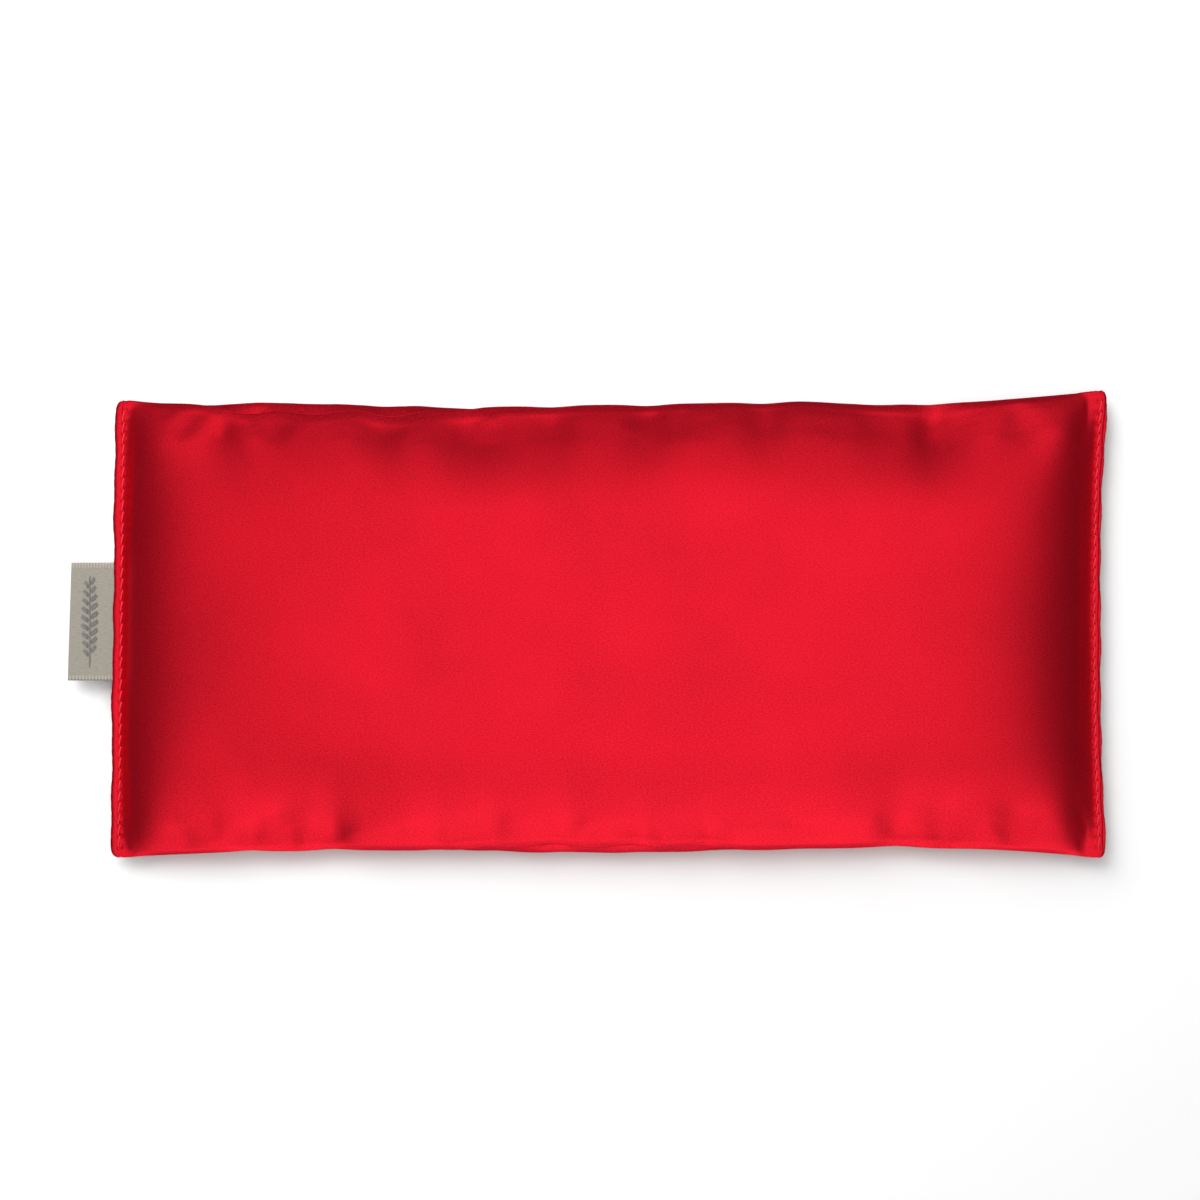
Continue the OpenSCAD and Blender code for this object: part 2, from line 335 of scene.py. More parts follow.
def thread_material(name, colour, roughness=0.5, sheen=0.3):
    """Spun thread: soft, with a fine uneven grain of fibres."""
    m = Nodes(name)
    here = m.object_coordinates()
    fibres = m.noise(here, 9000.0, detail=3.0)
    shade = m.ramp(fibres, [(0.3, scaled(colour, 0.75)), (0.7, scaled(colour, 1.15))])
    return m.finish(
        Base_Color=shade, Roughness=m.spread(fibres, roughness - 0.1, 0.2),
        Normal=m.bump(fibres, 0.03 * MM, 0.6),
        Sheen_Weight=sheen, Sheen_Roughness=0.4, Sheen_Tint=(*scaled(colour, 1.2), 1.0),
    )


def plain_weave_material(name, colour, yarn_pitch, contrast=0.25, roughness=0.8):
    """Plain weave: yarns over and under each other both ways, uneven as spun yarn is."""
    m = Nodes(name)
    cut = m.cut_coordinates()
    bands = wave_scale(2 * yarn_pitch)
    warp = m.wave(cut, "X", bands, 0.5)
    weft = m.wave(cut, "Y", bands, 0.5)
    under_and_over = m.math("ABSOLUTE", m.math("SUBTRACT", warp, weft))
    slub = m.noise(m.stretched(cut, (0.25, 1.0, 1.0)), 1500.0)
    tone = m.math("ADD", m.math("MULTIPLY", under_and_over, 0.5), m.math("MULTIPLY", slub, 0.5))
    shade = m.ramp(tone, [(0.2, scaled(colour, 1 - contrast)), (0.7, scaled(colour, 1.08))])
    return m.finish(
        Base_Color=shade, Roughness=m.spread(slub, roughness - 0.08, 0.15),
        Normal=m.bump(under_and_over, 0.5 * yarn_pitch, 0.7), Sheen_Weight=0.2, Sheen_Roughness=0.5,
    )


def ribbon_material(colour, width):
    """Woven ribbon: fine lengthwise warps, and a paler selvedge where the weft turns at both edges."""
    m = Nodes("ribbon_taupe")
    cut = m.cut_coordinates()
    warps = m.noise(m.stretched(cut, (0.2, 1.0, 1.0)), 4500.0)
    across = m.add("ShaderNodeSeparateXYZ", Vector=cut).outputs["Y"]
    from_middle = m.math("ABSOLUTE", m.math("SUBTRACT", across, width / 2))
    selvedge = m.math("GREATER_THAN", from_middle, width / 2 - SELVEDGE_WIDTH)
    turns = m.wave(cut, "X", wave_scale(SELVEDGE_PITCH))
    height = m.math("ADD", m.math("MULTIPLY", warps, 0.6), m.math("MULTIPLY", turns, selvedge))
    tone = m.math("ADD", m.math("MULTIPLY", height, 0.45), m.math("MULTIPLY", selvedge, 0.3))
    tones = ((0.08, 0.8), (0.2, 1.1), (0.42, 0.85), (0.75, 1.28))
    return m.finish(
        Base_Color=m.ramp(tone, [(position, scaled(colour, factor)) for position, factor in tones]),
        Roughness=0.6, Normal=m.bump(height, 0.1 * MM, 0.7), Sheen_Weight=0.2, Sheen_Roughness=0.5,
    )


def seed_material():
    """Flax seed: glossy brown grains, each its own shade."""
    m = Nodes("flax_seed")
    here = m.object_coordinates()
    cells = m.add("ShaderNodeTexVoronoi", Vector=m.stretched(here, (0.6, 1.0, 1.0)), Scale=450.0)
    grain = m.ramp(cells.outputs["Color"], [(0.1, (0.10, 0.035, 0.012)), (0.9, (0.33, 0.14, 0.05))])
    height = m.math("SUBTRACT", 1.0, cells.outputs["Distance"])
    return m.finish(Base_Color=grain, Roughness=0.32, Normal=m.bump(height, 0.7 * MM, 0.9))


def lavender_material():
    """Dried lavender: dull violet buds with fine ribs along them."""
    m = Nodes("lavender_bud")
    here = m.object_coordinates()
    ribs = m.noise(m.stretched(here, (1.0, 1.0, 0.3)), 2500.0)
    shade = m.ramp(ribs, [(0.3, (0.10, 0.075, 0.15)), (0.7, (0.24, 0.19, 0.36))])
    return m.finish(Base_Color=shade, Roughness=0.85, Normal=m.bump(ribs, 0.2 * MM, 0.8))


silk = silk_material()
silk_thread = thread_material("silk_thread", (0.72, 0.010, 0.028))
cotton_thread = thread_material("cotton_thread", (0.80, 0.77, 0.68), 0.8)
muslin = plain_weave_material("muslin", (0.78, 0.72, 0.58), 0.45 * MM)
ribbon = ribbon_material((0.27, 0.25, 0.205), label_width)
figure_yarn = thread_material("figure_yarn", (0.20, 0.195, 0.185), 0.75)
flax = seed_material()
lavender = lavender_material()

# ---------------------------------------------------------------- the sewn and filled cover

# The cloth solver behaves well on things about two metres long, so it works at ten times life size.
SOLVER_SCALE = 10.0
ROWS, COLUMNS = 120, 64
SOLVER_FRAMES = 16
CLOTH_GAP = 0.3 * MM  # how close the cloth comes to itself and to the ground

# What the outline does along the far and the near seam: (along, out from the middle), in mm.
FAR_EDGE = [
    (-118, 54.0), (-108, 53.3), (-70, 53.3), (-32, 52.2), (-8, 52.9), (20, 53.4), (44, 54.0),
    (56, 53.2), (76, 52.6), (96, 54.3), (118, 56.4),
]
NEAR_EDGE = [
    (-118, 56.2), (-96, 55.2), (-75, 54.4), (-45, 54.6), (-15, 55.1), (15, 55.1), (45, 54.3), (72, 53.3),
    (95, 54.3), (118, 56.3),
]
# Where a long seam has rolled up onto the front: (side, middle, half length, how far round, crease
# depth). Side is 1 on the far side and -1 on the near side.
ROLLED_SEAMS = [
    (1, -66 * MM, 40 * MM, 3.3 * MM, 0.35 * MM),
    (-1, -2 * MM, 44 * MM, 2.6 * MM, 0.55 * MM),
]
ROLL_REACH = 22 * MM  # how far round from the seam the cloth slides with it
SCALLOP_LENGTH = 19 * MM  # a rolled seam wanders in and out once in this length
SCALLOP_DEPTH = 0.22
# Where the long seams were eased in and pucker: (side, place, width, depth), in mm.
PUCKERS = [
    (1, -92, 5, 0.9), (1, -55, 5, 1.5), (1, -36, 6, 0.8), (1, -14, 5, 1.4),
    (1, 9, 5, 1.6), (1, 37, 5, 1.6), (1, 64, 6, 1.0), (1, 77, 4.2, 1.2),
    (-1, -87, 4, 1.0), (-1, -67, 4.5, 1.2), (-1, -42, 4, 0.9), (-1, -28, 3.5, 1.0), (-1, -11, 4, 1.1),
    (-1, 7, 4, 1.0), (-1, 24, 4.5, 1.2), (-1, 46, 5, 0.6), (-1, 69, 5, 1.2),
]
PUCKER_PEAK = 4 * MM  # how far in from the seam a pucker is deepest
PUCKER_PULL = 0.3  # how far a pucker draws the seam in, for its depth

# The climb of the front off its stitched ends: a steep part, and then a slow one to the crown.
STEEP_RISE = 8.4 * MM
STEEP_LENGTH = 4.9 * MM
LABEL_END_SLOPE = 80 * MM
PLAIN_END_SLOPE = 62 * MM
PLAIN_END_HEM = 1.2 * MM  # the hem lies level for this far before the plain end climbs
SHOULDER = 30 * MM  # how far in from a long seam the front is round
BASE_SHOULDER = 13 * MM  # and the back
SEAM_EASE = 30 * MM  # how far in from an end the long seams reach their own height
BASE_EASE = 15 * MM  # how far in from an end the back reaches its own
LYING_HEIGHT = 0.5 * MM

SMOOTHINGS = 60
SEED_SHOULDER = 27 * MM  # how far in from a long seam the seed lies level
END_FULLNESS = 1.45  # 1 leaves the solver's dome as it is, and more fills its shoulders
MIDDLE_FULLNESS = 1.85
HEM_SLOPE = 0.75  # how steeply the front climbs over a stiff hem
HEM_START = 0.7 * MM  # how far in from the stitching the climb starts
HEM_STIFF = 4.5 * MM  # and how far it goes on
HEM_EASED = (5 * MM, 8 * MM)  # where its stiffness gives out
HEM_CORNER = 15 * MM  # how far from a long seam the hem is stiff in full


def graded(count):
    """Places from 0 to 1, closer together towards both seams."""
    even = np.linspace(-1, 1, count + 1)
    return (1 + even * (1.25 - 0.25 * even**2)) / 2


row_at = graded(ROWS) * cut_length
column_at = graded(COLUMNS) * cut_width


def on_edge(points, x):
    """Height of a smooth outline through points at x."""
    along, out = np.array(points).T * MM
    return catmull_rom(out, np.interp(x, along, np.arange(len(along))))


def end_stitch_lines(v):
    """How far along the two stitched ends lie, from the near side (v -1) to the far side (v 1)."""
    label_end = label_stitch_x + 0.6 * MM * v
    plain_end = plain_stitch_x - 1.3 * MM * (1 - v**2) + 0.5 * MM * smooth((v - 0.6) / 0.4)
    return label_end, plain_end


def end_rise(from_end, level, slow_length):
    """The front climbs steeply off the stitching, then slowly to its crown."""
    steep = STEEP_RISE * (1 - np.exp(-((np.clip(from_end - level, 0, None) / STEEP_LENGTH) ** 1.5)))
    return steep + (crown_z - end_seam_z - STEEP_RISE) * smooth(from_end / slow_length)


def start_shape(u, v):
    """Front and back of the filled cover, near to their final form: the solver only settles them."""
    label_end, plain_end = end_stitch_lines(v)
    share = (u + 1) / 2
    x = label_end * (1 - share) + plain_end * share
    far, near = (on_edge(edge, x[:, 0])[:, None] for edge in (FAR_EDGE, NEAR_EDGE))
    y = (far - near) / 2 + v * (far + near) / 2
    from_label, from_plain = x - label_end, plain_end - x
    from_end = np.minimum(from_label, from_plain)
    from_side = (1 - np.abs(v)) * half_width
    label_rise = end_rise(from_label, 0, LABEL_END_SLOPE)
    plain_rise = end_rise(from_plain, PLAIN_END_HEM, PLAIN_END_SLOPE)
    rise = np.minimum(label_rise, plain_rise)
    seam = end_seam_z + (side_seam_z - end_seam_z) * smooth(from_end / SEAM_EASE)
    front = seam + (end_seam_z + rise - seam) * quarter_round(from_side / SHOULDER)
    base_end = np.sin(np.pi / 2 * np.clip(from_end / BASE_EASE, 0, 1))
    back = seam + (LYING_HEIGHT - seam) * base_end * quarter_round(from_side / BASE_SHOULDER)
    return np.stack([x, y, front], -1), np.stack([x, y, back], -1)


def cloth_object(points, flat, quads):
    """The sewn panels as one filled cloth that remembers the flat shape it was cut to."""
    mesh = bpy.data.meshes.new("cover_cloth")
    mesh.from_pydata((points * SOLVER_SCALE).tolist(), [], quads.tolist())
    cloth = bpy.data.objects.new("cover_cloth", mesh)
    bpy.context.scene.collection.objects.link(cloth)
    cloth.shape_key_add(name="filled")
    cut = cloth.shape_key_add(name="cut")
    cut.data.foreach_set("co", (flat * SOLVER_SCALE).ravel())
    cut.value = 0
    return cloth, cut


def marked(cloth, name, indices):
    """A vertex group of cloth."""
    group = cloth.vertex_groups.new(name=name)
    group.add([int(i) for i in indices], 1.0, "REPLACE")
    return group


def add_solver(cloth, cut, held, seams):
    """Fills the cloth to its volume, with its stitched ends held and its long seams eased in."""
    solver = cloth.modifiers.new("cloth", "CLOTH")
    s = solver.settings
    s.quality = 8
    s.mass = 0.02
    s.tension_stiffness = s.compression_stiffness = 60
    s.shear_stiffness = 20
    s.bending_stiffness = 5
    s.tension_damping = s.compression_damping = s.shear_damping = 15
    s.air_damping = 2
    s.use_pressure = s.use_pressure_volume = True
    s.uniform_pressure_force = 0
    s.target_volume = filled_volume * SOLVER_SCALE**3
    s.pressure_factor = 20
    s.fluid_density = 0.15
    s.vertex_group_mass = held.name
    s.vertex_group_shrink = seams.name
    s.shrink_max = 0.012
    s.rest_shape_key = cut
    solver.collision_settings.distance_min = CLOTH_GAP * SOLVER_SCALE
    solver.collision_settings.collision_quality = 2
    solver.point_cache.frame_start = 1
    solver.point_cache.frame_end = SOLVER_FRAMES


def add_ground():
    """What the cover is laid down on while it fills."""
    ground = flat_square("ground", half_length * SOLVER_SCALE * 2)
    ground.modifiers.new("ground", "COLLISION")
    ground.collision.thickness_outer = CLOTH_GAP * SOLVER_SCALE
    ground.collision.cloth_friction = 5
    return ground


def settled_points(cloth, count):
    """Plays the simulation through and reads off where its points lie, resting on the floor."""
    scene = bpy.context.scene
    for number in range(1, SOLVER_FRAMES + 1):
        scene.frame_set(number)
    settled = cloth.evaluated_get(bpy.context.evaluated_depsgraph_get()).data
    result = np.empty(count * 3)
    settled.vertices.foreach_get("co", result)
    result = result.reshape(-1, 3) / SOLVER_SCALE
    result[:, 2] = np.maximum(result[:, 2] - result[:, 2].min(), 0)
    return result


def simulated_cover():
    """The two panels sewn together, filled and laid down, as two grids of points."""
    u, v = np.meshgrid(2 * graded(ROWS) - 1, 2 * graded(COLUMNS) - 1, indexing="ij")
    front, back = start_shape(u, v)
    edge = (np.abs(u) > 0.9999) | (np.abs(v) > 0.9999)
    front[edge] = back[edge] = (front[edge] + back[edge]) / 2

    # The two panels share the points along their seams.
    inside = ~edge
    front_index = np.arange(u.size).reshape(u.shape)
    back_index = front_index.copy()
    back_index[inside] = u.size + np.arange(inside.sum())
    points = np.empty((u.size + inside.sum(), 3))
    flat = np.empty_like(points)
    points[front_index] = front
    points[back_index[inside]] = back[inside]
    flat[front_index] = np.stack([u * cut_length / 2, v * cut_width / 2, inside * CLOTH_GAP], -1)
    flat[back_index[inside]] = flat[front_index[inside]] * [1, 1, -1]
    quads = np.concatenate([
        front_index.ravel()[grid_faces(*u.shape)],
        back_index.ravel()[grid_faces(*u.shape, flip=True)],
    ])
    cloth, cut = cloth_object(points, flat, quads)
    held = marked(cloth, "stitched ends", np.concatenate([front_index[0], front_index[-1]]))
    long_edges = np.concatenate([front_index[1:-1, 0], front_index[1:-1, -1]])
    seams = marked(cloth, "eased seams", long_edges)
    add_solver(cloth, cut, held, seams)
    ground = add_ground()
    result = settled_points(cloth, len(points))
    for obj in (cloth, ground):
        bpy.data.objects.remove(obj)
    bpy.context.scene.frame_set(1)
    return result[front_index], result[back_index]


def smoothed(sheet):
    """The seed presses the cloth's middle smooth, and leaves the creases near its seams."""
    from_end = np.minimum(row_at, cut_length - row_at)[:, None]
    from_side = np.minimum(column_at, cut_width - column_at)[None, :]
    share = smooth((from_end - 2 * MM) / (10 * MM)) * smooth((from_side - 8 * MM) / (13 * MM))
    share = share[1:-1, 1:-1, None]
    for _ in range(SMOOTHINGS):
        mean = (sheet[:-2, 1:-1] + sheet[2:, 1:-1] + sheet[1:-1, :-2] + sheet[1:-1, 2:]) / 4
        sheet[1:-1, 1:-1] += share * (mean - sheet[1:-1, 1:-1])
    return sheet


def levelled(front):
    """Seed lies level where the solver's even pressure makes a dome: fuller shoulders, a lower crown.

    More of it has run towards the plain end, so the cloth slopes longer at the label's end.
    """
    from_side = np.minimum(column_at, cut_width - column_at)[None, :]
    share = np.clip((front[..., 2] - end_seam_z) / (front[..., 2].max() - end_seam_z), 0, 1)
    along = row_at[:, None]
    full_label_end = smooth((along - 20 * MM) / (90 * MM))
    full_plain_end = smooth((cut_length - along) / (50 * MM))
    fullness = END_FULLNESS + (MIDDLE_FULLNESS - END_FULLNESS) * full_label_end * full_plain_end
    level = end_seam_z + (crown_z - end_seam_z) * (1 - (1 - share) ** fullness)
    weight = smooth(from_side / SEED_SHOULDER) * (front[..., 2] > end_seam_z)
    front[..., 2] += weight * (level - front[..., 2])
    return stiffened(front, from_side)


def stiffened(front, from_side):
    """The hems inside both ends are stiff, so the front climbs straight off its stitching."""
    eased_from, eased_to = HEM_EASED
    for stitches in (front[:1], front[-1:]):
        distance = np.linalg.norm(front[..., :2] - stitches[..., :2], axis=2)
        climb = HEM_SLOPE * np.clip(distance - HEM_START, 0, HEM_STIFF) * smooth(from_side / HEM_CORNER)
        climb *= smooth((eased_to - distance) / (eased_to - eased_from))
        lifted = np.maximum(front[..., 2], end_seam_z + climb)
        front[..., 2] = np.where(distance < eased_to, lifted, front[..., 2])
    return front


def rolled(front, back):
    """Slides the long seams round the filling wherever they have rolled up onto the front.

    The cover's cross-section stays as it is: the seam only sits further round it, in a slight crease.
    """
    for side, middle, half, slide, crease in ROLLED_SEAMS:
        from_seam = slice(None, None, -side)
        half_front, half_back = front[:, from_seam], back[:, from_seam]
        width = COLUMNS // 2
        for row in range(1, ROWS):
            section = np.concatenate([half_back[row, width:0:-1], half_front[row, : width + 1]])
            x = section[width, 0]
            scallop = 1 + SCALLOP_DEPTH * math.sin(2 * math.pi * x / SCALLOP_LENGTH)
            share = smooth(1.6 * (1 - abs(x - middle) / half)) * scallop
            run = run_length(section)
            place = run - run[width]
            moved = place + slide * share * smooth(1 - np.abs(place) / ROLL_REACH)
            section = catmull_rom(section, np.interp(moved, place, np.arange(len(place))))
            tangent = section[width + 1] - section[width - 1]
            tangent /= np.linalg.norm(tangent)
            section[width, 1] -= crease * share * side * tangent[2]
            section[width, 2] += crease * share * side * tangent[1]
            half_front[row, : width + 1] = section[width:]
            half_back[row, : width + 1] = section[width::-1]
    return front, back


def puckered(front, back):
    """Presses in the soft grooves that run in from the places where the seams were eased."""
    for side, place, width, depth in PUCKERS:
        from_side = (column_at if side < 0 else cut_width - column_at)[None, :]
        across = np.exp(-(((front[..., 0] - place * MM) / (width * MM)) ** 2))
        inwards = from_side / PUCKER_PEAK
        fade = inwards * np.exp(1 - inwards)
        front[..., 2] -= depth * MM * across * fade
        for sheet in (front, back):
            sheet[..., 1] -= side * PUCKER_PULL * depth * MM * across * np.exp(-inwards)
    return front, back


front_sheet, back_sheet = (smoothed(sheet) for sheet in simulated_cover())
front_sheet, back_sheet = puckered(*rolled(levelled(front_sheet), back_sheet))

# ---------------------------------------------------------------- the cover's two panels

STITCHES_FROM_CORNER = 1.3 * MM
DIMPLE_RADIUS = 0.55 * MM  # of the cloth that a stitch hole draws in


def hole_places(seam_y):
    """Where the stitch holes lie across an end whose seam runs over seam_y."""
    low, high = seam_y.min() + STITCHES_FROM_CORNER, seam_y.max() - STITCHES_FROM_CORNER
    count = int((high - low) / stitch_pitch)
    return (low + high) / 2 + (np.arange(count + 1) - count / 2) * stitch_pitch


def drawn_in(y, holes):
    """How strongly a point at y is drawn in by the nearest of the stitch holes, 0 to 1."""
    phase = (y - holes[0]) / stitch_pitch
    gap = (phase - np.round(phase)) * stitch_pitch
    within = (y > holes[0] - stitch_pitch / 2) & (y < holes[-1] + stitch_pitch / 2)
    return np.exp(-((gap / DIMPLE_RADIUS) ** 2)) * within


# A turned edge from the stitching out round its fold and back in: (outwards, above the seam), in mm.
PLUMP_FOLD = [
    (0.3, 0.72), (0.8, 0.82), (1.3, 0.82), (1.75, 0.72), (2.05, 0.5), (2.1, 0.26), (1.9, 0.1),
]
SHORT_FOLD = [
    (0.25, 0.62), (0.6, 0.64), (0.85, 0.6), (1.05, 0.48), (1.12, 0.3), (1.05, 0.14), (0.8, 0.06),
]
LONG_FOLD = [
    (0.3, 0.55), (0.8, 0.5), (1.25, 0.42), (1.55, 0.3), (1.68, 0.18), (1.62, 0.08), (1.3, 0.05),
]
HEM_STEPS = np.arange(1.2, 6.1, 1.2) * MM  # rows of the turned hem, in from the stitching
HEM_DEPTH = 0.45 * MM  # how far under its panel the hem lies
ALLOWANCE_STEPS = np.arange(0.4, 5.3, 1.2) * MM  # columns of the seam allowance, in from the long seam
ALLOWANCE_TUCK = 1.1 * MM  # how far inside a folded edge the seam allowance stops
STITCHED_HEIGHT = 0.6 * MM  # how far a panel stands off the seam's plane at its stitching
STITCHED_REACH = 4 * MM  # and how soon that dies away
STITCH_PULL = 0.62 * MM  # how deep a stitch hole draws the cloth in
STITCH_PULL_REACH = 0.9 * MM
CORNER_RADIUS = 2.6 * MM
CORNER_GAP = 0.6  # how much of the gap between the panels is left at a corner
FINE_STEP = 0.4 * MM
FINE_BAND = 6 * MM  # how far in from a seam the panels are finely divided
WOBBLE = 0.12 * MM  # of a turned edge, either way for each of its waves


def fine_places(seam_step, step, band, total):
    """Distances across a panel: seam_step apart within band of either seam, step apart between them.

    One more lies close beside each seam.
    """
    first = np.concatenate([[0, seam_step / 4], np.arange(seam_step, band, seam_step)])
    middle = np.linspace(band, total - band, int((total - 2 * band) / step))
    return np.concatenate([first, middle, total - first[::-1]])


fine_row_at = fine_places(FINE_STEP, 1.5 * MM, FINE_BAND, cut_length)
fine_column_at = fine_places(FINE_STEP, 0.45 * MM, FINE_BAND, cut_width)
fine_rows = np.interp(fine_row_at, row_at, np.arange(ROWS + 1))
fine_columns = np.interp(fine_column_at, column_at, np.arange(COLUMNS + 1))


def seam_wobble(y, seed):
    """A hand-guided fold is never quite straight: a slow wander of its edge along y."""
    rng = np.random.default_rng(RANDOM_SEED + seed)
    waves = sum(
        rng.uniform(0.4, 1.0) * np.sin(y * 2 * math.pi / length + rng.uniform(0, 6.28))
        for length in (47 * MM, 23 * MM, 11 * MM)
    )
    return WOBBLE * waves


def from_corner(y):
    """How far each point of a stitched end lies from the nearer of its two corners."""
    return np.minimum(y.max() - y, y - y.min())


def gap_share(y):
    """How far the panels stand apart along a stitched end: less at its corners, where the seams meet."""
    return CORNER_GAP + (1 - CORNER_GAP) * smooth(from_corner(y) / STITCHES_FROM_CORNER)


def fold_rows(seam_row, outward, upward, profile, seed):
    """Rows of points from a stitched seam round its turned edge to its underside."""
    y = seam_row[:, 1]
    pull = drawn_in(y, hole_places(y))
    rounding = 0.25 + 0.75 * quarter_round(from_corner(y) / CORNER_RADIUS)
    wobble = seam_wobble(y, seed)
    rows = []
    for step, (out, up) in enumerate(profile):
        reach = out * MM * (1 - 0.03 * pull) + wobble * min(1.0, (step + 1) / 3)
        row = seam_row.copy()
        row[:, 0] += outward * reach * rounding
        row[:, 2] = end_seam_z + upward * up * MM * (1 - 0.2 * pull * (step < 2)) * gap_share(y)
        rows.append(row)
    return rows


def lining(sheet, upward, depth):
    """The same cloth moved inwards, where the edges that are turned in lie against it."""
    normal = np.cross(np.gradient(sheet, axis=0), np.gradient(sheet, axis=1))
    normal /= np.linalg.norm(normal, axis=2)[..., None]
    return sheet - upward * depth * normal


def tucked(along, upward, depth):
    """The move that hides a seam allowance inside a folded edge."""
    move = np.zeros((len(depth), 3))
    move[:, 0] = along * ALLOWANCE_TUCK
    move[:, 2] = -upward * depth
    return move


def stitched_ends(sheet, upward):
    """A panel in fine rows and columns, lifted by its hems and dimpled by the end stitches."""
    fine = resample(sheet, fine_rows, fine_columns)
    y = fine[..., 1]
    for seam_row in (fine[:1].copy(), fine[-1:].copy()):
        seam_y = seam_row[0, :, 1]
        distance = np.linalg.norm(fine - seam_row, axis=2)
        own_side = upward * np.maximum(upward * fine[..., 2], upward * end_seam_z)
        fine[..., 2] = np.where(distance < FINE_BAND, own_side, fine[..., 2])
        lift = STITCHED_HEIGHT * np.exp(-distance / STITCHED_REACH) * gap_share(seam_y)
        pull = STITCH_PULL * drawn_in(y, hole_places(seam_y)) * np.exp(-distance / STITCH_PULL_REACH)
        fine[..., 2] += upward * (lift - pull)
    return fine


def cover_panel(name, sheet, upward, label_fold, plain_fold, seed):
    """One panel of the cover with its hems: upward is 1 for the front and -1 for the back."""
    fine = stitched_ends(sheet, upward)
    depth = HEM_DEPTH * gap_share(fine[0, :, 1])
    inner = lining(fine, upward, depth[:, None])
    hem_rows = [int(np.searchsorted(fine_row_at, step)) for step in HEM_STEPS]
    label_fold_rows = fold_rows(fine[0], -1, upward, label_fold, seed)
    plain_fold_rows = fold_rows(fine[-1], 1, upward, plain_fold, seed + 5)
    outer_rows = [
        *(inner[row] for row in hem_rows[::-1]), *label_fold_rows[::-1], *fine,
        *plain_fold_rows, *(inner[-1 - row] for row in hem_rows),
    ]
    inner_rows = [
        *(inner[row] + tucked(0, upward, depth) for row in hem_rows[::-1]),
        *(row + tucked(1, upward, depth) for row in label_fold_rows[::-1]), *inner,
        *(row + tucked(-1, upward, depth) for row in plain_fold_rows),
        *(inner[-1 - row] + tucked(0, upward, depth) for row in hem_rows),
    ]
    outer, inside = np.stack(outer_rows), np.stack(inner_rows)

    # The long edges turn in at the seam and run on as a seam allowance.
    steps = [int(np.searchsorted(fine_column_at, step)) for step in ALLOWANCE_STEPS]
    far_steps = [-1 - step for step in steps]
    points = np.concatenate([inside[:, steps[::-1]], outer, inside[:, far_steps]], axis=1)
    cut_u = run_length(points[:, points.shape[1] // 2])
    turned = fine_column_at[steps]
    cut_v = np.concatenate([-turned[::-1], fine_column_at, cut_width + turned])
    uvs = np.stack(np.meshgrid(cut_u, cut_v, indexing="ij"), -1).reshape(-1, 2)
    rows, columns = points.shape[:2]
    obj = new_object(name, points.reshape(-1, 3), grid_faces(rows, columns, flip=upward < 0), silk, uvs)
    thicken(obj, silk_thickness)
    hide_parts(name.replace("_panel", ""))
    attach(obj, "pillow")


cover_panel("cover_front_panel", front_sheet, 1, PLUMP_FOLD, SHORT_FOLD, 1)
cover_panel("cover_back_panel", back_sheet, -1, SHORT_FOLD, LONG_FOLD, 2)

# ---------------------------------------------------------------- sewing threads

STITCH_LEAN = 0.5 * MM  # a stitch comes up on one side of its seam line and goes down on the other
SIDE_STITCH_INSET = 2.3 * MM
SIDE_STITCHES_FROM_END = 6 * MM
PLY_PITCH = 0.55 * MM  # one turn of the thread's two plies
PLY_GROOVE = 0.22


def ride_thread(name, node, part, material):
    """A thread that replaces the CAD model's own and rides on the pillow."""
    vertices, faces = part
    obj = new_object(name, vertices, faces, material)
    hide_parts(node)
    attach(obj, "pillow")


def stitched_path(holes, upward, level, sink):
    """The course of a lockstitch thread over holes: into each one, and along the cloth between them.

    Heights above 0 in its bow are shares of level.
    """
    bow = ((0, -sink), (0.10, 0.35), (0.24, 0.85), (0.5, 1), (0.76, 0.85), (0.90, 0.35))
    path = []
    for a, b in zip(holes[:-1], holes[1:]):
        for share, height in bow:
            point = a + (b - a) * share
            point[0] += STITCH_LEAN * (share - 0.5)
            point[2] += upward * (level * height if height > 0 else height)
            path.append(point)
    path.append(holes[-1] + [0, 0, upward * -sink])
    return catmull_rom(np.array(path), np.linspace(0, len(path) - 1, (len(path) - 1) * 2 + 1))


def end_thread(node, seam_row, upward):
    """The thread seen along a stitched end, on the front (upward 1) or on the back (-1)."""
    order = np.argsort(seam_row[:, 1])
    y = hole_places(seam_row[:, 1])
    x = np.interp(y, seam_row[order, 1], seam_row[order, 0])
    surface = end_seam_z + upward * (STITCHED_HEIGHT - 0.12 * MM)
    holes = np.stack([x, y, np.full_like(x, surface)], -1)
    path = stitched_path(holes, upward, 0.34 * MM, 0.30 * MM)
    part = tube(path, thread_radius, sides=10, twist_pitch=PLY_PITCH, groove=PLY_GROOVE)
    ride_thread(node + "_sewn", node, part, silk_thread)


def side_thread(node, across, upward):
    """Sewn through both allowances inside a long seam, so it follows the middle between the panels."""
    columns = np.interp([across], column_at, np.arange(COLUMNS + 1))
    rows = np.arange(ROWS + 1.0)
    course = (resample(front_sheet, rows, columns) + resample(back_sheet, rows, columns))[:, 0] / 2
    along = run_length(course)
    count = int((along[-1] - 2 * SIDE_STITCHES_FROM_END) / stitch_pitch)
    places = along[-1] / 2 + (np.arange(count + 1) - count / 2) * stitch_pitch
    holes = np.stack([np.interp(places, along, course[:, k]) for k in range(3)], -1)
    path = stitched_path(holes, upward, 0.25 * MM, -0.02 * MM)
    part = tube(path, thread_radius * 0.9, sides=6)
    ride_thread(node + "_sewn", node, part, silk_thread)


for face, upward in (("needle", 1), ("bobbin", -1)):
    end_thread(f"label_end_{face}_thread", front_sheet[0], upward)
    end_thread(f"plain_end_{face}_thread", front_sheet[-1], upward)
    side_thread(f"far_side_{face}_thread", cut_width - SIDE_STITCH_INSET, upward)
    side_thread(f"near_side_{face}_thread", SIDE_STITCH_INSET, upward)

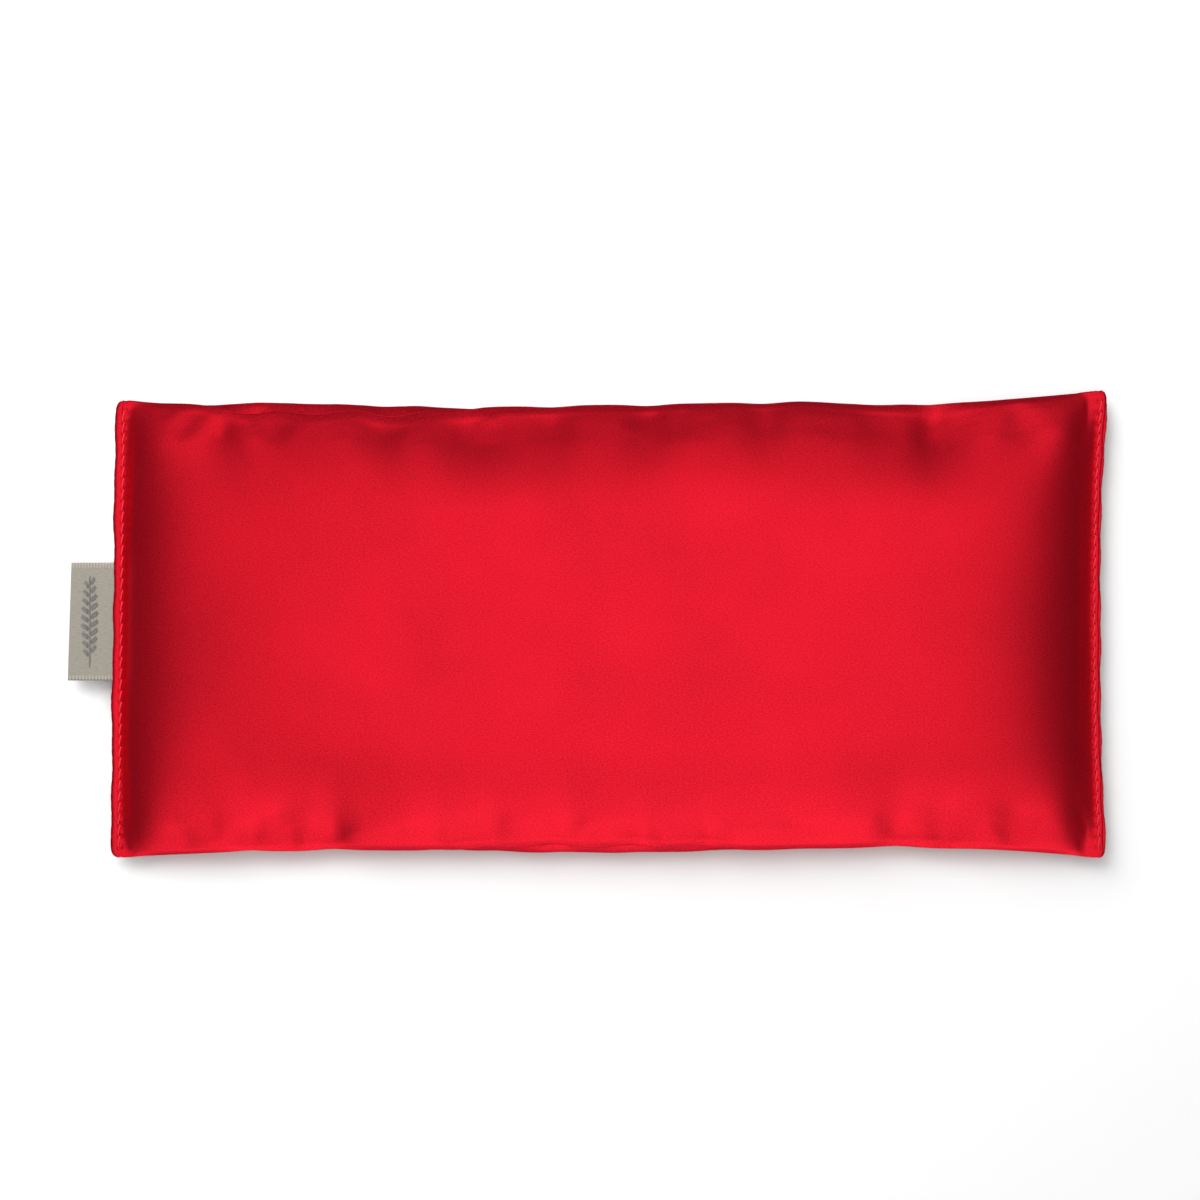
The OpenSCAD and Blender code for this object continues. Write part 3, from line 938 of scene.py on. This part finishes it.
# ---------------------------------------------------------------- the pouch and its seed

POUCH_END_INSET = 11 * MM
POUCH_SIDE_INSET = 5 * MM
POUCH_LIP = 4 * MM
POUCH_STITCH_INSET = 2 * MM
SEED_INSET = POUCH_LIP + 1.5 * MM
FILLED_ROUND = 9 * MM  # how roundly the filling swells up from its edge


def inner_sheets(end_inset, side_inset, clearance, lip, layer, rows=90, columns=40):
    """Front and back of something that lies inside the cover, clear of it, with a flat lip round it.

    At the lip half its thickness is layer. From there it swells up to clearance from the cover.
    """
    u = np.linspace(end_inset, cut_length - end_inset, rows + 1)
    v = np.linspace(side_inset, cut_width - side_inset, columns + 1)
    row_index = np.interp(u, row_at, np.arange(ROWS + 1))
    column_index = np.interp(v, column_at, np.arange(COLUMNS + 1))
    front = resample(front_sheet, row_index, column_index)
    back = resample(back_sheet, row_index, column_index)
    middle, half = (front + back) / 2, (front - back) / 2
    room = np.linalg.norm(half, axis=2)
    from_end = np.minimum(u - u[0], u[-1] - u)[:, None]
    from_side = np.minimum(v - v[0], v[-1] - v)[None, :]
    from_edge = np.minimum(from_end, from_side)
    rise = np.sqrt(np.clip(from_edge - lip, 0, None) * FILLED_ROUND)
    thick = np.minimum(np.maximum(room - clearance, layer), layer + rise)
    offset = half / room[..., None] * thick[..., None]
    return middle + offset, middle - offset


def ring_of(rows, columns):
    """Indices round the edge of a grid, in order."""
    index = np.arange(rows * columns).reshape(rows, columns)
    return np.concatenate([index[0, :-1], index[:-1, -1], index[-1, :0:-1], index[:0:-1, 0]])


def pouch_panel(name, sheet, upward):
    """One muslin panel of the pouch."""
    rows, columns = sheet.shape[:2]
    u = np.linspace(0, cut_length, rows)
    v = np.linspace(0, cut_width, columns)
    uvs = np.stack(np.meshgrid(u, v, indexing="ij"), -1).reshape(-1, 2)
    faces = grid_faces(rows, columns, flip=upward < 0)
    pouch = new_object(name + "_muslin", sheet.reshape(-1, 3), faces, muslin, uvs)
    thicken(pouch, muslin_thickness)
    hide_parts(name)
    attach(pouch, "pillow")


pouch_front, pouch_back = inner_sheets(
    POUCH_END_INSET, POUCH_SIDE_INSET, clearance=1.3 * MM, lip=POUCH_LIP, layer=0.25 * MM,
)
pouch_panel("pouch_front", pouch_front, 1)
pouch_panel("pouch_back", pouch_back, -1)


def seed_mass():
    """The loose seed as one closed mass, with a pebbled surface."""
    front, back = inner_sheets(
        POUCH_END_INSET + SEED_INSET, POUCH_SIDE_INSET + SEED_INSET,
        clearance=2.2 * MM, lip=0, layer=0.1 * MM, rows=200, columns=90,
    )
    rows, columns = front.shape[:2]
    pebbles = np.random.default_rng(RANDOM_SEED + 9).uniform(-0.18 * MM, 0, front.shape[:2])
    front[1:-1, 1:-1, 2] += pebbles[1:-1, 1:-1]
    back[1:-1, 1:-1, 2] -= pebbles[1:-1, 1:-1]
    count = rows * columns
    ring = ring_of(rows, columns)
    faces = [*grid_faces(rows, columns), *(grid_faces(rows, columns, flip=True) + count)]
    for a, b in zip(ring, np.roll(ring, -1)):
        faces.append((b, a, a + count, b + count))
    vertices = np.concatenate([front.reshape(-1, 3), back.reshape(-1, 3)])
    obj = new_object("flax_seed", vertices, faces, flax)
    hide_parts("seed_fill")
    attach(obj, "pillow")


seed_mass()


def pouch_thread():
    """A running stitch round the pouch's lip, alternately on its two faces."""
    middle = (pouch_front + pouch_back) / 2
    rows, columns = middle.shape[:2]
    row_step = POUCH_STITCH_INSET / (cut_length - 2 * POUCH_END_INSET) * (rows - 1)
    column_step = POUCH_STITCH_INSET / (cut_width - 2 * POUCH_SIDE_INSET) * (columns - 1)
    r = np.linspace(row_step, rows - 1 - row_step, 90)
    c = np.linspace(column_step, columns - 1 - column_step, 40)
    ring = ring_of(len(r), len(c))
    loop = resample(middle, r, c).reshape(-1, 3)[[*ring, ring[0]]]
    along = run_length(loop)
    places = np.arange(0, along[-1], stitch_pitch / 2)
    path = np.stack([np.interp(places, along, loop[:, k]) for k in range(3)], -1)
    path[:, 2] += 0.5 * MM * np.sin(np.arange(len(path)) * math.pi / 2)
    part = tube(path, thread_radius, sides=6)
    ride_thread("pouch_seam_sewn", "pouch_seam_thread", part, cotton_thread)


pouch_thread()
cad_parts["lavender_buds"].data.materials.clear()
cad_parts["lavender_buds"].data.materials.append(lavender)

# ---------------------------------------------------------------- the woven label

hinge_x = label_high.x - (label_high.z - label_low.z) / 2

RIBBON_THICKNESS = 0.18 * MM
LABEL_SHIFT = 1.0 * MM  # it was sewn in a little nearer to one corner
LABEL_SKEW = 0.9 * MM  # and not quite square
RIBBON_PINCHED = 0.1 * MM  # half the gap between its two layers where they are sewn in


def ribbon_loop():
    """A loop of ribbon: from the seam out to its fold and back in underneath."""
    half_gap = (label_high.z - label_low.z) / 2 - 0.12 * MM
    inner_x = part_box("label_tails")[1].x
    outer_x = label_low.x + half_gap + 1.0 * MM
    out = np.linspace(inner_x, outer_x, 30)
    pinch = RIBBON_PINCHED / half_gap
    pinch = pinch + (1 - pinch) * smooth((hinge_x + 1.2 * MM - out) / (2.4 * MM))
    turn = np.linspace(math.pi / 2, -math.pi / 2, 9)[1:-1]
    line = [(x, half_gap * p) for x, p in zip(out, pinch)]
    line += [(outer_x - half_gap * math.cos(a), half_gap * math.sin(a)) for a in turn]
    line += [(x, -half_gap * p) for x, p in zip(out[::-1], pinch[::-1])]
    line = np.array(line)
    across = np.linspace(label_low.y, label_high.y, 58) - LABEL_SHIFT
    share = (across - across.mean()) / (across[-1] - across[0])
    out_share = np.clip((hinge_x - line[:, 0]) / (hinge_x - outer_x), 0, 1)
    vertices = np.empty((len(line), len(across), 3))
    vertices[..., 0] = line[:, :1] + LABEL_SKEW * share[None, :] * out_share[:, None]
    vertices[..., 1] = across[None, :]
    vertices[..., 2] = end_seam_z + line[:, 1:]
    run = run_length(line)
    uvs = np.stack(np.meshgrid(run, across - across[0], indexing="ij"), -1).reshape(-1, 2)
    faces = grid_faces(*vertices.shape[:2], flip=True)
    loop = new_object("woven_label", vertices.reshape(-1, 3), faces, ribbon, uvs)
    solid = loop.modifiers.new("ribbon thickness", "SOLIDIFY")
    solid.thickness = RIBBON_THICKNESS
    solid.offset = 0
    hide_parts("label_tab", "label_tails")
    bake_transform(loop)


ribbon_loop()


STEM_PITCH = 0.62 * MM
LEAF_PAIRS = 9
LEAF_PITCH = 2.05 * MM
FLOATS_IN_LEAF = 4
FLOAT_PITCH = 0.30 * MM


def label_figure():
    """A sprig of leaves woven in raised weft: short floats laid side by side."""
    low, high = (corner - Vector((0, LABEL_SHIFT, 0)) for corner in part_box("label_motif"))
    middle = (low + high) / 2
    top = label_high.z + 0.02 * MM
    parts = []

    def float_yarn(a, b, radius=0.13 * MM):
        """One float of yarn from a to b, bowed up from the ribbon."""
        a, b = Vector(a), Vector(b)
        bow = [(0, -0.08), (0.12, 0.03), (0.5, 0.09), (0.88, 0.03), (1, -0.08)]
        path = [(*(a.lerp(b, t)), top + rise * MM) for t, rise in bow]
        parts.append(tube(path, radius, sides=6))

    y = low.y
    while y < high.y - 0.4 * MM:
        float_yarn((middle.x - 0.12 * MM, y), (middle.x + 0.12 * MM, y + 0.9 * MM))
        y += STEM_PITCH
    for i in range(LEAF_PAIRS):
        for side in (-1, 1):
            base_y = high.y - 1.6 * MM - i * LEAF_PITCH + side * 0.45 * MM
            reach = (0.9 + 1.3 * math.sin(math.pi * (i + 1.5) / (LEAF_PAIRS + 3))) * MM
            for k in range(FLOATS_IN_LEAF):
                inward = 0.25 * MM + abs(k - 1.5) * 0.12 * MM
                tip = reach - abs(k - 1.4) * 0.28 * MM
                start = (middle.x + side * inward, base_y + k * FLOAT_PITCH - 0.9 * MM)
                end = (middle.x + side * tip, base_y + k * FLOAT_PITCH)
                float_yarn(start, end)
    vertices, faces = joined(parts)
    obj = new_object("label_sprig", vertices, faces, figure_yarn)
    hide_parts("label_motif")
    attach(obj, "label")


label_figure()

# ---------------------------------------------------------------- stage, light and camera


def stage():
    """A plain white floor."""
    floor = flat_square("floor", 3.0)
    white = Nodes("floor_white").finish(
        Base_Color=(0.88, 0.88, 0.88, 1), Roughness=0.9, Specular_IOR_Level=0.1
    )
    floor.data.materials.append(white)
    floor.visible_glossy = False  # the silk mirrors a dark studio at its sides, not the white sweep


def soft_light(name, place, size, watts, lights_matt=True, shines_on_gloss=True):
    """An area light aimed at the pillow. It may leave out matt surfaces, or reflections."""
    data = bpy.data.lights.new(name, "AREA")
    data.shape = "RECTANGLE"
    data.size, data.size_y = size
    data.energy = watts
    light = bpy.data.objects.new(name, data)
    light.location = place
    light.rotation_euler = (-Vector(place)).to_track_quat("-Z", "Y").to_euler()
    light.visible_diffuse = lights_matt
    light.visible_glossy = shines_on_gloss
    bpy.context.scene.collection.objects.link(light)


def studio():
    """Soft light from above, a key and a fill for the floor's shadow, and a sheen on the near side."""
    world = bpy.data.worlds.new("studio")
    world.use_nodes = True
    background = world.node_tree.nodes["Background"]
    background.inputs["Color"].default_value = (1, 1, 1, 1)
    background.inputs["Strength"].default_value = 0.12
    bpy.context.scene.world = world
    soft_light("overhead", (0.06, 0.13, 1.0), (1.24, 1.6), 7.2)
    soft_light("key", (-0.35, 0.5, 0.5), (0.7, 0.7), 8.2, shines_on_gloss=False)
    soft_light("fill", (0, -0.5, 1.2), (2.0, 2.0), 4.0, shines_on_gloss=False)
    soft_light("near side", (0.05, -0.95, 0.2), (1.1, 0.9), 5.6, lights_matt=False)


def camera():
    """Looks straight down at the pillow, a little off its middle."""
    data = bpy.data.cameras.new("camera")
    data.sensor_width = 36
    data.lens = 85
    seen_width = 290 * MM
    distance = seen_width * data.lens / data.sensor_width
    cam = bpy.data.objects.new("camera", data)
    cam.location = (-2.5 * MM, 5.9 * MM, distance + end_seam_z)
    bpy.context.scene.collection.objects.link(cam)
    bpy.context.scene.camera = cam


stage()
studio()
camera()
bpy.context.scene.view_settings.view_transform = "Standard"
